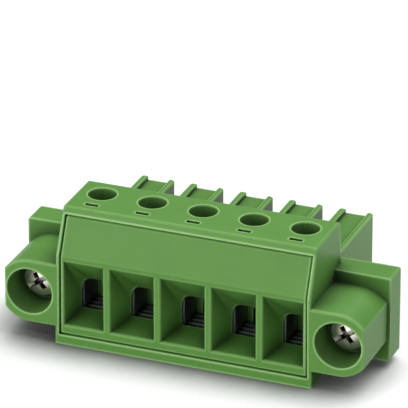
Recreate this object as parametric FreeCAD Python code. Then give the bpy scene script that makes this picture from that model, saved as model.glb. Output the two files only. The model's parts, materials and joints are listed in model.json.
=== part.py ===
import FreeCAD, Part
import os

# Five-pole pluggable terminal block with screw flanges. All sizes are in millimetres.
# X runs along the row of poles. Wires enter the front along +Y and the plug towers point to +Y.
# Z is up, with the foot of the body at zero. Y is measured from the front face while drawing,
# and the saved pieces are centred on the origin.

# Row of poles
pole_count = 5
pole_pitch = 7.62

# Body of the housing
body_height = 20.3
bend_height = 13.65
slope_run = 2.8
back_lean = 0.35
shoulder_height = 13.95
shoulder_step = 1.6
side_draft = 0.37
end_wall = 1.06
back_wall = 1.03
top_wall = 2.14
edge_round = 0.35

# Mouth that takes the wire guide
mouth_floor = 1.46
mouth_depth = 5.6
mouth_side_lip = 0.64
mouth_top_lip = 1.1
mouth_draft = 0.18
seam_gap = 0.15
guide_recess = 0.15

# Wire funnels in the guide
guide_side_wall = 0.63
guide_sill = 1.44
guide_lintel = 0.88
guide_bar = 1.09
throat_width = 4.3
throat_floor = 3.55
throat_roof = 8.2
throat_corner = 1.6
guide_wall = 0.9
guide_plate = 1.3
guide_core_width = 5.8
guide_core_drop = 0.5
guide_chamfer = 0.12
funnel_chamfer = 0.2

# Latches between guide and housing
latch_y = 4.35
latch_window_width = 1.95
latch_window_depth = 0.7
latch_gap = 0.1
latch_sink = 0.5

# Clamp screw, drawn at its thread's outside diameter
screw_radius = 1.45
head_radius = 2.3
head_height = 1.3
head_slot_width = 0.6
head_slot_depth = 0.6
access_radius = 2.05
turning_gap = 0.1

# Clamp cage
cage_width = 5.4
cage_depth = 4.7
cage_side = 0.8
cage_floor = 1.4
cage_top_wall = 1.8
cage_round = 0.8
cage_side_gap = 0.3
cage_front_gap = 0.25
cage_back_gap = 0.3
cage_rest_gap = 0.2
cage_tooth = 0.25
cage_tooth_count = 3

# Contact
sheet = 0.8
tongue_width = 3.0
tongue_start_gap = 0.5
bar_window_gap = 0.3
plate_width = 3.8
plate_end_gap = 2.6
arm_height = 2.6
arm_thickness = 0.6
arm_spread = 2.8
arm_root = 4.0
pinch_gap = 0.8
pinch_back = 4.6
flare_gap = 1.8
arm_end_gap = 0.5

# Contact spring
spring_sheet = 0.2
spring_gap = 0.05
spring_leaf_inset = 0.3
spring_collar = 2.0

# Plug towers
tower_width = 5.18
tower_length = 15.4
tower_foot = 1.14
tower_top = 13.18
tower_wall = 0.96
tower_round = 0.5
rib_width = 0.95
rib_height = 0.65
rib_chamfer = 0.15
rail_gap = 0.15
rail_lift = 0.1
arm_channel_width = 3.6
core_channel_width = 2.2
pin_window = 2.6
pin_window_chamfer = 0.5

# Flanges
plug_axis_height = 7.4
flange_axis_offset = 3.79
boss_radius = 4.82
counterbore_radius = 3.45
boss_side_wall = 0.36
boss_chamfer = 0.2
block_reach = 4.24
block_thickness = 4.16
block_foot = 1.14
block_round = 0.35

# Flange screws, captive because the thread is wider than the hole round the waist
flange_screw_radius = 1.25
flange_waist_radius = 1.0
flange_end_play = 0.8
flange_relief_depth = 0.5
flange_head_radius = 2.5
flange_head_height = 1.9
flange_head_dome = 0.8
flange_head_sink = 3.5
flange_screw_reach = 5.2
flange_tip_chamfer = 0.35
recess_width = 0.75
recess_length = 2.7
recess_depth = 1.25
recess_slot_depth = 0.8
recess_turn = -35.0
seat_gap = 0.05

# Places that follow from the sizes above
pole_half_row = (pole_count - 1) / 2 * pole_pitch
pocket_width = cage_width + 2 * cage_side_gap
body_half_width = pole_half_row + pocket_width / 2 + end_wall
mouth_half_width = body_half_width - mouth_side_lip
guide_half_width = mouth_half_width - seam_gap
mouth_top = body_height - mouth_top_lip
screw_y = mouth_depth + cage_front_gap + cage_depth / 2
pocket_back = screw_y + cage_depth / 2 + cage_back_gap
top_back = pocket_back + back_wall
body_depth = top_back + back_lean + shoulder_step
tower_end = body_depth + tower_length
overall_depth = tower_end
bar_bottom = plug_axis_height + arm_height / 2
bar_top = bar_bottom + sheet
head_seat = body_height - top_wall
head_top = head_seat - turning_gap
head_bottom = head_top - head_height
cage_bottom = mouth_floor + cage_rest_gap
window_bottom = cage_bottom + cage_floor
window_top = bar_top + bar_window_gap
cage_top = window_top + cage_top_wall
channel_end = tower_end - tower_wall
flange_x = body_half_width + flange_axis_offset
flange_head_back = flange_head_sink + flange_head_height
flange_thread_start = body_depth - flange_relief_depth + flange_end_play
flange_thread_run_in = flange_screw_radius - flange_waist_radius
funnel_floor = mouth_floor + seam_gap + guide_sill
mouth_roof = bend_height - guide_lintel
reach = 1.0


def vec(x, y, z):
    return FreeCAD.Vector(x, y, z)


def pole_positions():
    return [index * pole_pitch - pole_half_row for index in range(pole_count)]


def block(x_range, y_range, z_range):
    size_x = x_range[1] - x_range[0]
    size_y = y_range[1] - y_range[0]
    size_z = z_range[1] - z_range[0]
    return Part.makeBox(size_x, size_y, size_z, vec(x_range[0], y_range[0], z_range[0]))


def centred(middle, width):
    return (middle - width / 2, middle + width / 2)


def widened(span, margin):
    return (span[0] - margin, span[1] + margin)


def extrude(corners, direction):
    outline = Part.makePolygon(corners + corners[:1])
    return Part.Face(outline).extrude(direction)


def side_profile(points, x_range):
    # An outline of (y, z) points, extruded along X.
    corners = [vec(x_range[0], y, z) for y, z in points]
    return extrude(corners, vec(x_range[1] - x_range[0], 0, 0))


def front_profile(points, y_range):
    # An outline of (x, z) points, extruded along Y.
    corners = [vec(x, y_range[0], z) for x, z in points]
    return extrude(corners, vec(0, y_range[1] - y_range[0], 0))


def plan_profile(points, z_range):
    # An outline of (x, y) points, extruded along Z.
    corners = [vec(x, y, z_range[0]) for x, y in points]
    return extrude(corners, vec(0, 0, z_range[1] - z_range[0]))


def rod_y(radius, x, z, y_range):
    return Part.makeCylinder(radius, y_range[1] - y_range[0], vec(x, y_range[0], z), vec(0, 1, 0))


def rod_z(radius, x, y, z_range):
    return Part.makeCylinder(radius, z_range[1] - z_range[0], vec(x, y, z_range[0]), vec(0, 0, 1))


def rounded(shape, radius, chosen):
    return shape.makeFillet(radius, [edge for edge in shape.Edges if chosen(edge.CenterOfMass)])


def chamfered(shape, size, chosen):
    return shape.makeChamfer(size, [edge for edge in shape.Edges if chosen(edge.CenterOfMass)])


def rounded_window(x_range, z_range, corner, y):
    # A rectangle with round corners, standing in the plane at y.
    left, right = x_range
    low, high = z_range
    inner = corner * (1 - 0.5 ** 0.5)
    spots = [
        [(left, low + corner), (left, high - corner)],
        [(left, high - corner), (left + inner, high - inner), (left + corner, high)],
        [(left + corner, high), (right - corner, high)],
        [(right - corner, high), (right - inner, high - inner), (right, high - corner)],
        [(right, high - corner), (right, low + corner)],
        [(right, low + corner), (right - inner, low + inner), (right - corner, low)],
        [(right - corner, low), (left + corner, low)],
        [(left + corner, low), (left + inner, low + inner), (left, low + corner)],
    ]
    edges = []
    for spot in spots:
        points = [vec(x, y, z) for x, z in spot]
        curve = Part.Arc(*points) if len(points) == 3 else Part.LineSegment(*points)
        edges.append(curve.toShape())
    return Part.Wire(edges)


def window_corners(x_range, z_range, y):
    # The corners of an upright rectangle, round from the lower left one.
    left, right = x_range
    low, high = z_range
    return [vec(left, y, low), vec(right, y, low), vec(right, y, high), vec(left, y, high)]


def flat_sided(outlines):
    # A solid from the corner lists of all its flat faces.
    faces = [Part.Face(Part.makePolygon(corners + corners[:1])) for corners in outlines]
    solid = Part.Solid(Part.Shell(faces))
    if solid.Volume < 0:
        solid.reverse()
    return solid


def tapered(near, far):
    # A solid between two rectangles in parallel planes.
    outlines = [near, far]
    for index in range(len(near)):
        after = (index + 1) % len(near)
        outlines.append([near[index], near[after], far[after], far[index]])
    return flat_sided(outlines)


def slope_y(height):
    # Where the sloped front of the body stands at a height above the bend.
    return slope_run * (height - bend_height) / (body_height - bend_height)


def side_wall_profile(half_width, draft, y_range):
    # The body seen from the front: both sides lean in by the draft over the body's height.
    top_half = half_width - draft
    points = [(-half_width, 0), (half_width, 0), (top_half, body_height), (-top_half, body_height)]
    return front_profile(points, y_range)


def body_blank():
    # The outer form of the body: bent front, level top, leaning back and a low shoulder behind.
    side = [(0, 0), (0, bend_height), (slope_run, body_height), (top_back, body_height)]
    side += [(top_back + back_lean, shoulder_height), (body_depth, shoulder_height), (body_depth, 0)]
    blank = side_profile(side, (-body_half_width, body_half_width))
    blank = blank.common(side_wall_profile(body_half_width, side_draft, (0, body_depth)))
    behind = top_back + back_lean / 4
    return rounded(blank, edge_round, lambda at: at.y < behind and at.z > edge_round)


def flange_boss(side):
    # A round boss with a flat flank, joined to the body by a web as high as the boss.
    axis_x = side * flange_x
    height = plug_axis_height
    span = (0, body_depth)
    boss = rod_y(boss_radius, axis_x, height, span)
    inner = side * (body_half_width - end_wall)
    web = block(sorted((inner, axis_x)), span, (height - boss_radius, height + boss_radius))
    flank = side * (flange_x + counterbore_radius + boss_side_wall)
    outside = block(sorted((inner, flank)), span, (0, body_height))
    boss = boss.fuse(web).common(outside).removeSplitter()
    return chamfered(boss, boss_chamfer, lambda at: at.y < boss_chamfer and abs(at.x) > body_half_width)


def flange_block(side):
    inner = side * (body_half_width - end_wall)
    outer = side * (flange_x + block_reach)
    y_range = (body_depth - block_thickness, body_depth)
    plate = block(sorted((inner, outer)), y_range, (block_foot, shoulder_height))
    middle = body_depth - block_thickness / 2
    beside = abs(outer) - block_round / 2
    return rounded(plate, block_round, lambda at: abs(at.x) > beside and abs(at.y - middle) < block_round)


def plug_tower(x):
    # One hollow finger that enters the header, with two coding ribs along its top edges.
    y_range = (body_depth - reach, tower_end)
    x_range = centred(x, tower_width)
    tower = block(x_range, y_range, (tower_foot, tower_top))
    for start in (x_range[0], x_range[1] - rib_width):
        rib = block((start, start + rib_width), y_range, (tower_top, tower_top + rib_height))
        tower = tower.fuse(rib)
    tower = tower.removeSplitter()
    crest = tower_top + rib_height

    def outer_edge(at):
        at_side = abs(abs(at.x - x) - tower_width / 2) < rib_chamfer
        return at_side and at.y > body_depth and at.z < crest - rib_chamfer

    def crest_edge(at):
        return at.z > crest - rib_chamfer and at.y > body_depth

    tower = rounded(tower, tower_round, outer_edge)
    return chamfered(tower, rib_chamfer, crest_edge)


def pole_cavities(x):
    # Everything hollow behind the guide at one pole, from the cage pocket to the pin window.
    pocket = block(centred(x, pocket_width), (mouth_depth - reach, pocket_back), (mouth_floor, head_bottom))
    seat_radius = head_radius + turning_gap
    seat = rod_z(seat_radius, x, screw_y, (head_bottom - reach, head_seat))
    seat_way = block(centred(x, 2 * seat_radius), (mouth_depth - reach, screw_y), (head_bottom - reach, head_seat))
    access = rod_z(access_radius, x, screw_y, (head_seat - reach, body_height + reach))
    window = block(
        centred(x, latch_window_width),
        centred(latch_y, latch_window_depth),
        (mouth_top - reach, body_height + reach),
    )
    along = (pocket_back - reach, channel_end)
    rail = block(
        centred(x, plate_width + 2 * rail_gap),
        along,
        (bar_bottom - rail_lift, bar_top + rail_lift),
    )
    arms_floor = bar_bottom - arm_height - spring_sheet - spring_gap - rail_lift
    arms = block(centred(x, arm_channel_width), along, (arms_floor, bar_bottom))
    core = block(
        centred(x, core_channel_width),
        along,
        (tower_foot + tower_wall, tower_top - tower_wall),
    )
    pin_z = centred(plug_axis_height, pin_window)
    pin_way = block(centred(x, pin_window), (channel_end - reach, tower_end), pin_z)
    flared = pin_window + 2 * pin_window_chamfer
    pin_mouth = tapered(
        window_corners(centred(x, pin_window), pin_z, tower_end - pin_window_chamfer),
        window_corners(centred(x, flared), centred(plug_axis_height, flared), tower_end),
    )
    return [pocket, seat, seat_way, access, window, rail, arms, core, pin_way, pin_mouth]


def flange_bores(side):
    axis_x = side * flange_x
    sink = rod_y(counterbore_radius, axis_x, plug_axis_height, (-reach, flange_head_back + seat_gap))
    hole = rod_y(flange_waist_radius + turning_gap, axis_x, plug_axis_height, (0, body_depth + reach))
    relief_y = (body_depth - flange_relief_depth, body_depth + reach)
    relief = rod_y(flange_screw_radius + turning_gap, axis_x, plug_axis_height, relief_y)
    return [sink, hole, relief]


def housing():
    solids = []
    mouth = side_wall_profile(mouth_half_width, mouth_draft, (-reach, mouth_depth))
    level = block((-mouth_half_width, mouth_half_width), (-reach, mouth_depth), (mouth_floor, mouth_top))
    hollows = [mouth.common(level)]
    for side in (-1, 1):
        solids += [flange_boss(side), flange_block(side)]
        hollows += flange_bores(side)
    for x in pole_positions():
        solids.append(plug_tower(x))
        hollows += pole_cavities(x)
    return body_blank().multiFuse(solids).cut(hollows).removeSplitter()


def corner_fillet(near, far, middle, radius):
    # What a cone leaves of the corner along one edge of a funnel. The cone has its point at the near
    # end, touches both walls and reaches the radius at the far end.
    edge = far - near
    normals = [edge.cross(vec(0, 0, 1)).normalize(), edge.cross(vec(1, 0, 0)).normalize()]
    normals = [normal if normal.dot(middle - far) > 0 else normal * -1 for normal in normals]
    inward = (normals[0] + normals[1]).normalize()
    centre = far + inward * (radius / inward.dot(normals[0]))
    axis = centre - near
    slope = radius / (axis.Length ** 2 - radius ** 2) ** 0.5
    beyond = 1 + reach / axis.Length
    height = axis.Length * beyond
    cone = Part.makeCone(0, height * slope, height, near, axis)
    touch = [far] + [centre - normal * radius for normal in normals]
    ends = [near + (point - near) * beyond * beyond for point in touch]
    wedge = flat_sided([ends, [near, ends[0], ends[1]], [near, ends[1], ends[2]], [near, ends[2], ends[0]]])
    return wedge.cut(cone)


def funnel(x, x_range):
    # The way in for a wire: a tall mouth with chamfered edges that narrows to a round-roofed throat.
    start = guide_recess + funnel_chamfer
    end = mouth_depth - seam_gap
    z_range = (funnel_floor, mouth_roof)
    mouth = window_corners(x_range, z_range, start)
    flare = 2 * funnel_chamfer
    outer = window_corners(widened(x_range, flare), widened(z_range, flare), start - flare)
    throat = window_corners(centred(x, throat_width), (throat_floor, throat_roof), end)
    middle = vec(x, end, (throat_floor + throat_roof) / 2)
    fillets = [corner_fillet(near, far, middle, throat_corner) for near, far in list(zip(mouth, throat))[2:]]
    return tapered(mouth, throat).cut(fillets).fuse(tapered(outer, mouth))


def guide_side(front, back):
    # The guide's outline from the side, with its face standing at the front position.
    low = mouth_floor + seam_gap
    high = mouth_top - seam_gap
    return [(front, low), (front, bend_height), (front + slope_y(high), high), (back, high), (back, low)]


def guide_core(x):
    # The moulding is hollow from behind, between its sloped plate and the roof of the funnel.
    x_range = centred(x, guide_core_width)
    behind = side_profile(guide_side(guide_recess + guide_plate, mouth_depth), x_range)
    level = block(x_range, (0, mouth_depth), (0, head_bottom - guide_core_drop))
    roof = [(guide_recess, mouth_roof + guide_wall), (mouth_depth - seam_gap, throat_roof + guide_wall)]
    roof += [(mouth_depth, throat_roof + guide_wall), (mouth_depth, 0), (guide_recess, 0)]
    return behind.common(level).cut(side_profile(roof, x_range))


def latch(x):
    width = latch_window_width - 2 * latch_gap
    depth = latch_window_depth - 2 * latch_gap
    top = body_height - latch_sink
    low = mouth_top - seam_gap - reach
    front, back = centred(latch_y, depth)
    ramp = top - depth
    points = [(front, low), (front, top), (front + depth / 3, top), (back, ramp), (back, low)]
    return side_profile(points, centred(x, width))


def wire_guide():
    end = mouth_depth - seam_gap
    guide = side_profile(guide_side(guide_recess, end), (-guide_half_width, guide_half_width))
    guide = guide.common(side_wall_profile(guide_half_width, mouth_draft, (0, end)))
    guide = chamfered(guide, guide_chamfer, lambda at: at.y < end and abs(at.z - bend_height) > guide_chamfer)
    places = pole_positions()
    limit = guide_half_width - guide_side_wall
    cuts = []
    for x in places:
        left, right = centred(x, pole_pitch - guide_bar)
        cuts.append(funnel(x, (max(left, -limit), min(right, limit))))
        cuts.append(guide_core(x))
    guide = guide.cut(cuts)
    return guide.multiFuse([latch(x) for x in places]).removeSplitter()


def clamp_screw(x):
    # A flat head with a driver slot, turning under the top of the housing.
    shank = rod_z(screw_radius, x, screw_y, (bar_top + turning_gap, head_bottom))
    head = rod_z(head_radius, x, screw_y, (head_bottom, head_top))
    slot = block(
        centred(x, 2 * head_radius + reach),
        centred(screw_y, head_slot_width),
        (head_top - head_slot_depth, head_top + reach),
    )
    return head.fuse(shank).cut(slot).removeSplitter()


def clamp_cage(x):
    # A folded steel sleeve: the wire goes through its window and the screw through its top.
    y_range = centred(screw_y, cage_depth)
    inner_x = centred(x, cage_width - 2 * cage_side)
    front = y_range[0]
    outline = rounded_window(centred(x, cage_width), (cage_bottom, cage_top), cage_round, front)
    sleeve = Part.Face(outline).extrude(vec(0, cage_depth, 0))
    cage = sleeve.cut(block(inner_x, y_range, (window_bottom, window_top)))
    cage = cage.cut(rod_z(screw_radius + turning_gap, x, screw_y, (window_top - reach, cage_top + reach)))
    step = cage_depth / (cage_tooth_count + 1)
    teeth = []
    for index in range(cage_tooth_count):
        middle = front + step * (index + 1)
        points = [(middle - cage_tooth, window_bottom), (middle, window_bottom + cage_tooth)]
        points += [(middle + cage_tooth, window_bottom), (middle, window_bottom - cage_tooth)]
        teeth.append(side_profile(points, inner_x))
    return cage.multiFuse(teeth).removeSplitter()


def arm_line(offset):
    # One receptacle arm seen from above: half widths at the root, the pinch and the flared end.
    return [
        (arm_spread / 2 + offset, body_depth),
        (arm_spread / 2 + offset, body_depth + arm_root),
        (pinch_gap / 2 + arm_thickness + offset, channel_end - pinch_back),
        (flare_gap / 2 + arm_thickness + offset, channel_end - arm_end_gap),
    ]


def contact(x):
    # A tongue under the screw, a plate in the rails of the tower and two arms that grip the pin.
    sheet_z = (bar_bottom, bar_top)
    plate_start = pocket_back + arm_end_gap
    plate_end = tower_end - plate_end_gap - arm_root
    tongue = block(
        centred(x, tongue_width), (mouth_depth + tongue_start_gap, plate_start), sheet_z
    )
    plate = block(centred(x, plate_width), (plate_start, plate_end), sheet_z)
    pieces = [plate]
    for side in (-1, 1):
        outside = arm_line(0)
        inside = arm_line(-arm_thickness)
        points = [(x + side * half, y) for half, y in outside + inside[::-1]]
        arm = plan_profile(points, (bar_bottom - arm_height, bar_bottom - spring_gap))
        half_range = sorted((x + side * arm_spread / 2, x + side * (arm_spread / 2 - arm_thickness)))
        root = block(half_range, (body_depth, body_depth + arm_root), (bar_bottom - arm_height, bar_bottom))
        pieces += [arm, root]
    return tongue.multiFuse(pieces).removeSplitter()


def contact_spring(x):
    # A steel clip round the root of the arms, with a leaf along the outside of each arm.
    base = body_depth + spring_leaf_inset
    inner_half = arm_spread / 2 + spring_gap
    outer_half = inner_half + spring_sheet
    arms_low = bar_bottom - arm_height
    leaf_z = (arms_low, bar_bottom - spring_leaf_inset)
    collar = block(
        centred(x, 2 * outer_half),
        (base, base + spring_collar),
        (arms_low - spring_gap - spring_sheet, leaf_z[1]),
    )
    inside = block(
        centred(x, 2 * inner_half),
        (base - reach, base + spring_collar + reach),
        (arms_low - spring_gap, bar_top),
    )
    pieces = []
    for side in (-1, 1):
        near = arm_line(spring_gap)[:3]
        far = arm_line(spring_gap + spring_sheet)[:3]
        near[0] = (near[0][0], base)
        far[0] = (far[0][0], base)
        points = [(x + side * half, y) for half, y in near + far[::-1]]
        pieces.append(plan_profile(points, (arms_low + spring_leaf_inset, leaf_z[1])))
    return collar.cut(inside).multiFuse(pieces).removeSplitter()


def flange_screw(side):
    # A captive screw: a pan head with a cross and slot recess, a thin waist and a threaded end.
    axis_x = side * flange_x
    front = flange_head_sink
    dome_radius = (flange_head_radius ** 2 + flange_head_dome ** 2) / (2 * flange_head_dome)
    dome = Part.makeSphere(dome_radius, vec(0, front + dome_radius, 0))
    head = rod_y(flange_head_radius, 0, 0, (front, flange_head_back)).common(dome)
    tip = body_depth + flange_screw_reach
    corners = [
        vec(0, flange_head_back, 0),
        vec(flange_waist_radius, flange_head_back, 0),
        vec(flange_waist_radius, flange_thread_start, 0),
        vec(flange_screw_radius, flange_thread_start + flange_thread_run_in, 0),
        vec(flange_screw_radius, tip - flange_tip_chamfer, 0),
        vec(flange_screw_radius - flange_tip_chamfer, tip, 0),
        vec(0, tip, 0),
    ]
    outline = Part.Face(Part.makePolygon(corners + corners[:1]))
    shank = outline.revolve(vec(0, 0, 0), vec(0, 1, 0), 360)
    slot = block(
        centred(0, 2 * flange_head_radius + reach),
        (front - reach, front + recess_slot_depth),
        centred(0, recess_width),
    )
    cross = block(
        centred(0, recess_length), (front - reach, front + recess_depth), centred(0, recess_width)
    )
    upright = block(
        centred(0, recess_width), (front - reach, front + recess_depth), centred(0, recess_length)
    )
    screw = head.fuse(shank).cut([slot, cross, upright]).removeSplitter()
    screw.rotate(vec(0, 0, 0), vec(0, 1, 0), recess_turn)
    screw.translate(vec(axis_x, 0, plug_axis_height))
    return screw


def save(name, shape):
    placed = shape.copy()
    placed.translate(vec(0, -overall_depth / 2, 0))
    placed.exportStep("parts/" + name + ".step")


os.makedirs("parts", exist_ok=True)
save("housing", housing())
save("wire_guide", wire_guide())
for number, x in enumerate(pole_positions(), start=1):
    save("clamp_screw_%d" % number, clamp_screw(x))
    save("clamp_cage_%d" % number, clamp_cage(x))
    save("contact_%d" % number, contact(x))
    save("contact_spring_%d" % number, contact_spring(x))
save("flange_screw_left", flange_screw(-1))
save("flange_screw_right", flange_screw(1))
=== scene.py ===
import json
from math import cos, pi, radians, sin

import bmesh
import bpy
from mathutils import Matrix, Vector

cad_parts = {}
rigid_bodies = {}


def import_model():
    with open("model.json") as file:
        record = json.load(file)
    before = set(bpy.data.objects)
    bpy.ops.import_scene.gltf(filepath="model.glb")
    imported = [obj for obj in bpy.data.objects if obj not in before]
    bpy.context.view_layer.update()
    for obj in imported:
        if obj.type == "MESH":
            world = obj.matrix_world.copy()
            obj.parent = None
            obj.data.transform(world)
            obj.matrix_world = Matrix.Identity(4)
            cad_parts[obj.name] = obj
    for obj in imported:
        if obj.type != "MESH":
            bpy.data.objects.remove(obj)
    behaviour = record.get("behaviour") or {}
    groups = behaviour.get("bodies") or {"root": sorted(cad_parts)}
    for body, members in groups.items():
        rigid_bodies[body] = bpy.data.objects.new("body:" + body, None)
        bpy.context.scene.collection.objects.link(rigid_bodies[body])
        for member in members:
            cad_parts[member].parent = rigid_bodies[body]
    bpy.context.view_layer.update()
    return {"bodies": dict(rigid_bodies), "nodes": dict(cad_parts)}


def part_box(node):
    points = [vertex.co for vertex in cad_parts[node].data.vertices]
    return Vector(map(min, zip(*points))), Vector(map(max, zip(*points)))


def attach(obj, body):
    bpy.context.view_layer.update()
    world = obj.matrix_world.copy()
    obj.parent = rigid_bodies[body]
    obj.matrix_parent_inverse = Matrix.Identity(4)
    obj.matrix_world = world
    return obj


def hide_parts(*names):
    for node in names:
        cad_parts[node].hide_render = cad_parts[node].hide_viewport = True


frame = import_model()
millimetre = 0.001

# Housing
# One injection moulding in green polyamide 66: the body, its two screw flanges and the five plug
# towers. It comes out of a spark-eroded tool, so its faces are satin and its edges slightly round.

# These number the sockets of a Mix node, where colours and plain values share their names.
first_colour, second_colour, mixed_colour = 6, 7, 2
first_value, second_value, mixed_value = 2, 3, 0


def linear(colour):
    """Turns an sRGB hex colour into linear RGBA."""
    channels = [int(colour[start:start + 2], 16) / 255 for start in (1, 3, 5)]
    return [c / 12.92 if c <= 0.04045 else ((c + 0.055) / 1.055) ** 2.4 for c in channels] + [1.0]


def add_node(tree, kind, settings, links):
    """Adds a node, sets its inputs or properties, and links sockets to its inputs."""
    node = tree.nodes.new(kind)
    for name, value in settings.items():
        if name in node.inputs:
            node.inputs[name].default_value = value
        else:
            setattr(node, name, value)
    for name, socket in links.items():
        tree.links.new(socket, node.inputs[name])
    return node


def moulded_polyamide(name, colour, pale_colour, painted_edge_highlight_colour, painted_hollow_shade_colour):
    """Satin moulded polyamide: slightly uneven pigment, a fine eroded grain, glossy edges that are
    painted paler as a highlight, and painted shade in its hollows.
    """
    material = bpy.data.materials.new(name)
    material.use_nodes = True
    tree = material.node_tree
    shader = tree.nodes["Principled BSDF"]
    place = add_node(tree, "ShaderNodeTexCoord", {}, {}).outputs["Object"]
    # Pigment drifts over a few millimetres, where the melt flowed round the cores.
    drift_length = 5 * millimetre
    drift = add_node(
        tree, "ShaderNodeTexNoise",
        {"Scale": 1 / drift_length, "Detail": 3.0},
        {"Vector": place},
    )
    blend = add_node(
        tree, "ShaderNodeMix",
        {"data_type": "RGBA"},
        {"Factor": drift.outputs["Fac"]},
    )
    blend.inputs[first_colour].default_value = linear(colour)
    blend.inputs[second_colour].default_value = linear(pale_colour)
    # The outer edges of the tool are polished, so the edges of a moulding are glossier than its faces.
    # They are also painted paler than the faces, as a painted highlight. A look inwards finds them: it
    # meets the surface again only where an edge is near.
    edge_width = 0.35 * millimetre
    thickness = add_node(
        tree, "ShaderNodeAmbientOcclusion",
        {"inside": True, "only_local": True, "samples": 8, "Distance": edge_width}, {},
    )
    edge_gloss_and_highlight = add_node(
        tree, "ShaderNodeMapRange",
        {"From Min": 1.0, "From Max": 0.68, "To Min": 0.0, "To Max": 1.0},
        {"Value": thickness.outputs["AO"]},
    )
    edged = add_node(
        tree, "ShaderNodeMix",
        {"data_type": "RGBA"},
        {"Factor": edge_gloss_and_highlight.outputs["Result"]},
    )
    tree.links.new(blend.outputs[mixed_colour], edged.inputs[first_colour])
    edged.inputs[second_colour].default_value = linear(painted_edge_highlight_colour)
    # Painted shade: funnels, holes and other hollows are darkened towards a near-black green, the more
    # so the closer their own walls stand round them.
    hollow_width = 4 * millimetre
    openness = add_node(
        tree, "ShaderNodeAmbientOcclusion",
        {"only_local": True, "samples": 8, "Distance": hollow_width}, {},
    )
    hollow = add_node(
        tree, "ShaderNodeMapRange",
        {"From Min": 0.95, "From Max": 0.35, "To Min": 0.0, "To Max": 1.0},
        {"Value": openness.outputs["AO"]},
    )
    hollow_shaded = add_node(
        tree, "ShaderNodeMix",
        {"data_type": "RGBA"},
        {"Factor": hollow.outputs["Result"]},
    )
    tree.links.new(edged.outputs[mixed_colour], hollow_shaded.inputs[first_colour])
    hollow_shaded.inputs[second_colour].default_value = linear(painted_hollow_shade_colour)
    tree.links.new(hollow_shaded.outputs[mixed_colour], shader.inputs["Base Color"])
    # The real grain is about 0.05 mm. It is drawn four times as coarse, so that it shows at all.
    grain_width = 0.2 * millimetre
    grain = add_node(
        tree, "ShaderNodeTexNoise",
        {"Scale": 1 / grain_width, "Detail": 2.0},
        {"Vector": place},
    )
    sheen = add_node(
        tree, "ShaderNodeMapRange",
        {"From Min": 0.3, "From Max": 0.7, "To Min": 0.34, "To Max": 0.44},
        {"Value": grain.outputs["Fac"]},
    )
    polished_roughness = 0.25
    gloss = add_node(
        tree, "ShaderNodeMix",
        {"data_type": "FLOAT"},
        {"Factor": edge_gloss_and_highlight.outputs["Result"]},
    )
    tree.links.new(sheen.outputs["Result"], gloss.inputs[first_value])
    gloss.inputs[second_value].default_value = polished_roughness
    tree.links.new(gloss.outputs[mixed_value], shader.inputs["Roughness"])
    # A tool leaves every edge of a moulding a little round, and these radii catch the light.
    edge_radius = 0.3 * millimetre
    grain_depth = 0.006 * millimetre
    edges = add_node(tree, "ShaderNodeBevel", {"Radius": edge_radius, "samples": 8}, {})
    bump = add_node(
        tree, "ShaderNodeBump",
        {"Strength": 0.25, "Distance": grain_depth},
        {"Height": grain.outputs["Fac"], "Normal": edges.outputs["Normal"]},
    )
    tree.links.new(bump.outputs["Normal"], shader.inputs["Normal"])
    shader.inputs["IOR"].default_value = 1.53
    shader.inputs["Specular IOR Level"].default_value = 0.15
    return material


def merged_copy(node, name):
    """A new object with a CAD node's surface, its loose triangles joined to each other."""
    surface = bmesh.new()
    surface.from_mesh(frame["nodes"][node].data)
    bmesh.ops.remove_doubles(surface, verts=surface.verts, dist=0.001 * millimetre)
    mesh = bpy.data.meshes.new(name)
    surface.to_mesh(mesh)
    surface.free()
    piece = bpy.data.objects.new(name, mesh)
    bpy.context.scene.collection.objects.link(piece)
    return piece


def smooth_rounds(piece):
    """Shades round faces smooth. A flat face outweighs the narrow facets of a rounding beside it."""
    in_one_plane = cos(radians(0.5))
    in_one_round = cos(radians(20))
    surface = bmesh.new()
    surface.from_mesh(piece.data)
    surface.faces.ensure_lookup_table()
    surface.normal_update()
    flat_area = [0.0] * len(surface.faces)
    for first in surface.faces:
        if flat_area[first.index]:
            continue
        region = [first]
        found = {first}
        for face in region:
            beside = {other for edge in face.edges for other in edge.link_faces} - found
            flush = [other for other in beside if other.normal.dot(first.normal) > in_one_plane]
            found.update(flush)
            region.extend(flush)
        area = sum(face.calc_area() for face in region)
        for face in region:
            flat_area[face.index] = area
    normals = []
    for face in surface.faces:
        for corner in face.loops:
            normal = Vector()
            for other in corner.vert.link_loops:
                if other.face.normal.dot(face.normal) > in_one_round:
                    normal += other.face.normal * other.calc_angle() * flat_area[other.face.index] ** 2
            normals.append(normal.normalized())
    surface.free()
    piece.data.shade_smooth()
    piece.data.normals_split_custom_set(normals)


# The pale edge colour is a painted highlight, and the dark hollow colour is painted shade.
green_polyamide = moulded_polyamide(
    "moulded_green_polyamide", colour="#5B8D42", pale_colour="#639548",
    painted_edge_highlight_colour="#98C67F", painted_hollow_shade_colour="#1A2617",
)
housing = merged_copy("housing", "moulded_housing")
smooth_rounds(housing)
housing.data.materials.append(green_polyamide)
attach(housing, "block")
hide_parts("housing")

# Wire guide
# A second moulding in green polyamide, a trace darker than the housing, snapped into the housing's
# mouth. A thin dark seam shows all round it, and its five funnels lead the wires to the clamps.

# The pale edge colour is a painted highlight, and the dark hollow colour is painted shade.
guide_polyamide = moulded_polyamide(
    "moulded_green_polyamide_guide", colour="#598B40", pale_colour="#619346",
    painted_edge_highlight_colour="#96C47D", painted_hollow_shade_colour="#1A2617",
)
guide = merged_copy("wire_guide", "moulded_wire_guide")
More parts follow.
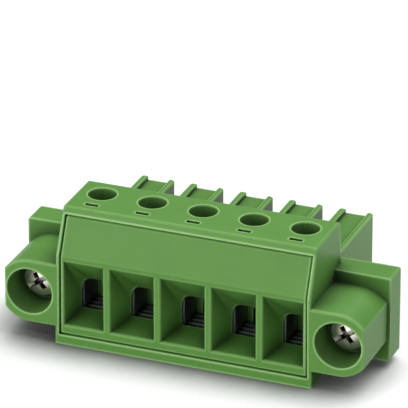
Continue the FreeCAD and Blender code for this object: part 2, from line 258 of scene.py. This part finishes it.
# The seam is drawn a little wider than the gap between the solids, as the photograph shows it. The
# guide's two sides, its foot and the top of its slope, which ends in front of the latches, move in.
seam_widening = 0.1 * millimetre
guide_low, guide_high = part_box("wire_guide")
guide_side = guide_high[0] - 0.3 * millimetre
guide_foot = guide_low[2] + 0.2 * millimetre
slope_top = guide_high[2] - 0.9 * millimetre
latch_front = guide_low[1] + 3 * millimetre
for vert in guide.data.vertices:
    if abs(vert.co.x) > guide_side:
        vert.co.x -= seam_widening if vert.co.x > 0 else -seam_widening
    if vert.co.z < guide_foot:
        vert.co.z += seam_widening
    if vert.co.z > slope_top and vert.co.y < latch_front:
        vert.co.z -= seam_widening
smooth_rounds(guide)
guide.data.materials.append(guide_polyamide)
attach(guide, "block")
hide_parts("wire_guide")

# Contacts and their springs
# Each contact is a bar of copper alloy with a matt tin plate, and its arms are squeezed by a clip
# of rolled stainless spring steel. They slide into the towers from the front.


def plated_metal(name, colour, roughness, streak_length, streak_width):
    """A plated or rolled metal, with fine lines from stamping or rolling along X, and painted shade in
    its recesses.
    """
    material = bpy.data.materials.new(name)
    material.use_nodes = True
    tree = material.node_tree
    shader = tree.nodes["Principled BSDF"]
    shader.inputs["Metallic"].default_value = 1.0
    # Painted shade: slots, recesses and the roots of a thread are darkened towards near black, the more
    # so the closer their walls stand round them.
    painted_recess_shade_colour = "#12110F"
    recess_width = 1.0 * millimetre
    openness = add_node(
        tree, "ShaderNodeAmbientOcclusion",
        {"only_local": True, "samples": 8, "Distance": recess_width}, {},
    )
    unshaded_share = add_node(
        tree, "ShaderNodeMapRange",
        {"From Min": 0.45, "From Max": 0.9, "To Min": 0.0, "To Max": 1.0},
        {"Value": openness.outputs["AO"]},
    )
    plating = add_node(
        tree, "ShaderNodeMix",
        {"data_type": "RGBA"},
        {"Factor": unshaded_share.outputs["Result"]},
    )
    plating.inputs[first_colour].default_value = linear(painted_recess_shade_colour)
    plating.inputs[second_colour].default_value = linear(colour)
    tree.links.new(plating.outputs[mixed_colour], shader.inputs["Base Color"])
    # The lines make the gloss a little uneven, and they can just be felt.
    line_depth = 0.004 * millimetre
    smoothest = roughness * 0.8
    roughest = roughness * 1.25
    place = add_node(tree, "ShaderNodeTexCoord", {}, {}).outputs["Object"]
    stretched = add_node(
        tree, "ShaderNodeMapping",
        {"Scale": (1 / streak_length, 1 / streak_width, 1 / streak_width)},
        {"Vector": place},
    )
    lines = add_node(
        tree, "ShaderNodeTexNoise",
        {"Scale": 1.0, "Detail": 3.0},
        {"Vector": stretched.outputs["Vector"]},
    )
    gloss = add_node(
        tree, "ShaderNodeMapRange",
        {"From Min": 0.3, "From Max": 0.7, "To Min": smoothest, "To Max": roughest},
        {"Value": lines.outputs["Fac"]},
    )
    tree.links.new(gloss.outputs["Result"], shader.inputs["Roughness"])
    bump = add_node(
        tree, "ShaderNodeBump",
        {"Strength": 0.3, "Distance": line_depth},
        {"Height": lines.outputs["Fac"]},
    )
    tree.links.new(bump.outputs["Normal"], shader.inputs["Normal"])
    return material


def finish_node(node, metal):
    """Gives a CAD node that keeps its own shape a metal finish."""
    materials = frame["nodes"][node].data.materials
    materials.clear()
    materials.append(metal)


tinned_copper = plated_metal(
    "matt_tinned_copper_alloy", "#C6C6C0", roughness=0.42,
    streak_length=0.6 * millimetre, streak_width=0.15 * millimetre,
)
spring_steel = plated_metal(
    "rolled_spring_steel", "#A8A8A4", roughness=0.30,
    streak_length=2.0 * millimetre, streak_width=0.05 * millimetre,
)
poles = [name.split("_")[1] for name in frame["bodies"] if name.startswith("cage_")]
for pole in poles:
    finish_node("contact_" + pole, tinned_copper)
    finish_node("contact_spring_" + pole, spring_steel)

# Clamp cages and clamp screws
# The cages are folded from zinc-plated steel strip. The M3 screws that lift them have flat heads,
# turned from zinc-plated steel, and are trapped under the round holes in the top.

cage_steel = plated_metal(
    "folded_zinc_plated_steel", "#85888A", roughness=0.36,
    streak_length=0.9 * millimetre, streak_width=0.08 * millimetre,
)
screw_steel = plated_metal(
    "turned_zinc_plated_steel", "#92979B", roughness=0.42,
    streak_length=0.08 * millimetre, streak_width=0.08 * millimetre,
)
for pole in poles:
    finish_node("clamp_cage_" + pole, cage_steel)
    finish_node("clamp_screw_" + pole, screw_steel)

# Flange screws
# Two captive M2.5 screws in bright nickel plate, with cold-formed pan heads and a recess for a
# cross or a flat driver. Behind a thin waist the thread is rolled with a pitch of 0.45 mm.

nickel_plate = plated_metal(
    "bright_nickel_plated_steel", "#ECE6DA", roughness=0.42,
    streak_length=0.3 * millimetre, streak_width=0.1 * millimetre,
)
thread_pitch = 0.45 * millimetre
thread_radius = 1.25 * millimetre
root_radius = 1.0 * millimetre
core_sides = 48
core_length = 4.95 * millimetre
tip_chamfer = 0.35 * millimetre
end_radius = thread_radius - tip_chamfer
neck_length = 0.2 * millimetre
run_in = 0.65 * millimetre
run_out = 0.3 * thread_pitch
ridge_foot = 0.9 * root_radius
foot_half_width = 0.46 * thread_pitch
crest_half_width = 0.07 * thread_pitch
steps_per_turn = 24
for side in ("left", "right"):
    screw = merged_copy("flange_screw_" + side, "captive_flange_screw_" + side)
    low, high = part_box("flange_screw_" + side)
    axis_x = (low[0] + high[0]) / 2
    axis_z = (low[2] + high[2]) / 2
    tip = high[1]
    core_start = tip - core_length
    # The plain end of the CAD screw is taken off in the waist, and a threaded one goes on.
    surface = bmesh.new()
    surface.from_mesh(screw.data)
    cut = bmesh.ops.bisect_plane(
        surface, geom=surface.verts[:] + surface.edges[:] + surface.faces[:],
        plane_co=(0, core_start, 0), plane_no=(0, 1, 0), clear_outer=True,
    )
    rim = [part for part in cut["geom_cut"] if isinstance(part, bmesh.types.BMEdge)]
    bmesh.ops.holes_fill(surface, edges=rim)
    # The core runs from the waist to a blunt end.
    length = tip - core_start
    core_middle = Matrix.Translation((axis_x, core_start + length / 2, axis_z))
    along_y = Matrix.Rotation(-pi / 2, 4, "X")
    core = bmesh.ops.create_cone(
        surface, cap_ends=True, segments=core_sides, radius1=root_radius, radius2=root_radius,
        depth=length, matrix=core_middle @ along_y,
    )["verts"]
    for vert in core:
        if vert.co.y > tip - thread_pitch / 2:
            vert.co.x = axis_x + (vert.co.x - axis_x) * end_radius / root_radius
            vert.co.z = axis_z + (vert.co.z - axis_z) * end_radius / root_radius
    # One ridge is spun up the core like a lathe's thread, with its foot sunk in the core.
    first = core_start + run_in
    ridge = [
        surface.verts.new((axis_x + ridge_foot, first - foot_half_width, axis_z)),
        surface.verts.new((axis_x + thread_radius, first - crest_half_width, axis_z)),
        surface.verts.new((axis_x + thread_radius, first + crest_half_width, axis_z)),
        surface.verts.new((axis_x + ridge_foot, first + foot_half_width, axis_z)),
    ]
    profile = surface.faces.new(ridge)
    turns = (tip - first - run_out) / thread_pitch
    steps = round(turns * steps_per_turn)
    bmesh.ops.spin(
        surface, geom=[profile] + list(profile.edges) + ridge, cent=(axis_x, 0, axis_z), axis=(0, 1, 0),
        dvec=(0, thread_pitch / steps_per_turn, 0), angle=2 * pi / steps_per_turn * steps, steps=steps,
        use_merge=False, use_duplicate=False,
    )
    # The thread runs out at both ends: into the waist, and under the chamfer of the tip.
    for vert in surface.verts:
        off_x = vert.co.x - axis_x
        off_z = vert.co.z - axis_z
        radius = (off_x ** 2 + off_z ** 2) ** 0.5
        below_chamfer = end_radius + tip - vert.co.y
        above_waist = ridge_foot + max(0.0, vert.co.y - first)
        limit = max(ridge_foot, min(thread_radius, below_chamfer, above_waist))
        past_neck = vert.co.y > core_start + neck_length
        off_core = radius > root_radius * 1.001
        if past_neck and off_core and radius > limit:
            vert.co.x = axis_x + off_x * limit / radius
            vert.co.z = axis_z + off_z * limit / radius
            vert.co.y = min(vert.co.y, tip)
    bmesh.ops.recalc_face_normals(surface, faces=surface.faces)
    surface.to_mesh(screw.data)
    surface.free()
    smooth_rounds(screw)
    screw.data.materials.append(nickel_plate)
    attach(screw, "flange_" + side)
    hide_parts("flange_screw_" + side)

# Floor
# A wide sheet of matt card, as a studio sweep. The camera, metal and glass see it white, with the
# shadow of the block, part cast by the lamps and part painted. It throws little light up into the
# undersides, as black flags would do.

card = bpy.data.materials.new("matt_white_card")
card.use_nodes = True
tree = card.node_tree
shader = tree.nodes["Principled BSDF"]
shader.inputs["Roughness"].default_value = 0.9
shader.inputs["Specular IOR Level"].default_value = 0.1
shader.inputs["Emission Color"].default_value = linear("#FFFFFF")
rays = add_node(tree, "ShaderNodeLightPath", {}, {})
mirrored = add_node(tree, "ShaderNodeMath", {"operation": "MAXIMUM"}, {})
tree.links.new(rays.outputs["Is Glossy Ray"], mirrored.inputs[0])
tree.links.new(rays.outputs["Is Transmission Ray"], mirrored.inputs[1])
seen = add_node(tree, "ShaderNodeMath", {"operation": "MAXIMUM"}, {})
tree.links.new(rays.outputs["Is Camera Ray"], seen.inputs[0])
tree.links.new(mirrored.outputs["Value"], seen.inputs[1])
# The card is grey for the light that it throws back, and white, darkened by a painted shadow, where it
# is seen.
tone = add_node(
    tree, "ShaderNodeMix",
    {"data_type": "RGBA"},
    {"Factor": seen.outputs["Value"]},
)
tone.inputs[first_colour].default_value = linear("#A6A6A4")
# Painted shadow: the card is darkened where it meets the block, most of all in front of it and on its
# left, as the box above, which stands behind the block and a little to the right, would shade it.
to_overhead_box = add_node(tree, "ShaderNodeCombineXYZ", {"X": 0.25, "Y": 0.65, "Z": 0.72}, {})
shadow_width = 8 * millimetre
openness = add_node(
    tree, "ShaderNodeAmbientOcclusion",
    {"samples": 8, "Distance": shadow_width},
    {"Normal": to_overhead_box.outputs["Vector"]},
)
shade = add_node(
    tree, "ShaderNodeMapRange",
    {"From Min": 0.25, "From Max": 0.90, "To Min": 0.0, "To Max": 1.0},
    {"Value": openness.outputs["AO"]},
)
contact = add_node(
    tree, "ShaderNodeMix",
    {"data_type": "RGBA"},
    {"Factor": shade.outputs["Result"]},
)
contact.inputs[first_colour].default_value = linear("#000000")
contact.inputs[second_colour].default_value = linear("#FFFFFF")
tree.links.new(contact.outputs[mixed_colour], tone.inputs[second_colour])
tree.links.new(tone.outputs[mixed_colour], shader.inputs["Base Color"])
# A faint glow brings the open card up to full white.
glow = add_node(
    tree, "ShaderNodeMapRange",
    {"To Min": 0.0, "To Max": 0.03},
    {"Value": seen.outputs["Value"]},
)
tree.links.new(glow.outputs["Result"], shader.inputs["Emission Strength"])
sheet_half_width = 1.5
sheet = bmesh.new()
bmesh.ops.create_grid(sheet, x_segments=1, y_segments=1, size=sheet_half_width)
floor_mesh = bpy.data.meshes.new("studio_floor")
sheet.to_mesh(floor_mesh)
sheet.free()
floor_mesh.materials.append(card)
floor = bpy.data.objects.new("studio_floor", floor_mesh)
bpy.context.scene.collection.objects.link(floor)

# Light
# A dim white surround, two soft boxes and a card. One box is on the left, a little in front, one is
# above and a little to the rear, so that its shadow falls forward, and the card fills the front.

world = bpy.data.worlds.new("white_surround")
bpy.context.scene.world = world
world.use_nodes = True
surround = world.node_tree.nodes["Background"]
surround.inputs["Color"].default_value = linear("#FFFFFF")
surround.inputs["Strength"].default_value = 0.1


def soft_box(name, place, width, length, power):
    """A rectangular area lamp that faces the block, with its place and size in metres."""
    lamp = bpy.data.lights.new(name, "AREA")
    lamp.shape = "RECTANGLE"
    lamp.size = width
    lamp.size_y = length
    lamp.energy = power
    box = bpy.data.objects.new(name, lamp)
    box.location = place
    box.rotation_euler = (-Vector(place)).to_track_quat("-Z", "Y").to_euler()
    bpy.context.scene.collection.objects.link(box)


soft_box("left_box", place=(-0.52, -0.50, 0.24), width=0.70, length=0.42, power=2.8)
soft_box("overhead_box", place=(0.14, 0.20, 0.65), width=1.00, length=0.76, power=6.6)
soft_box("front_card", place=(0.06, -0.68, 0.22), width=1.00, length=0.38, power=2.5)

# Camera
# A long lens some 65 cm away, turned to the right of the block and raised above it. Its place and
# aim were fitted to the corners and holes of the block in the photograph.

turn = radians(21.562)
rise = radians(25.198)
distance = 648.71 * millimetre
aim = Vector((-1.749, -1.726, 19.028)) * millimetre
away = Vector((sin(turn) * cos(rise), -cos(turn) * cos(rise), sin(rise)))
camera_data = bpy.data.cameras.new("photo_camera")
camera_data.lens = 407.5
camera_data.sensor_width = 36.0
camera_data.clip_end = 10.0
camera = bpy.data.objects.new("photo_camera", camera_data)
camera.location = aim + away * distance
camera.rotation_euler = (pi / 2 - rise, 0, turn)
bpy.context.scene.collection.objects.link(camera)
bpy.context.scene.camera = camera
bpy.context.scene.view_settings.view_transform = "Standard"
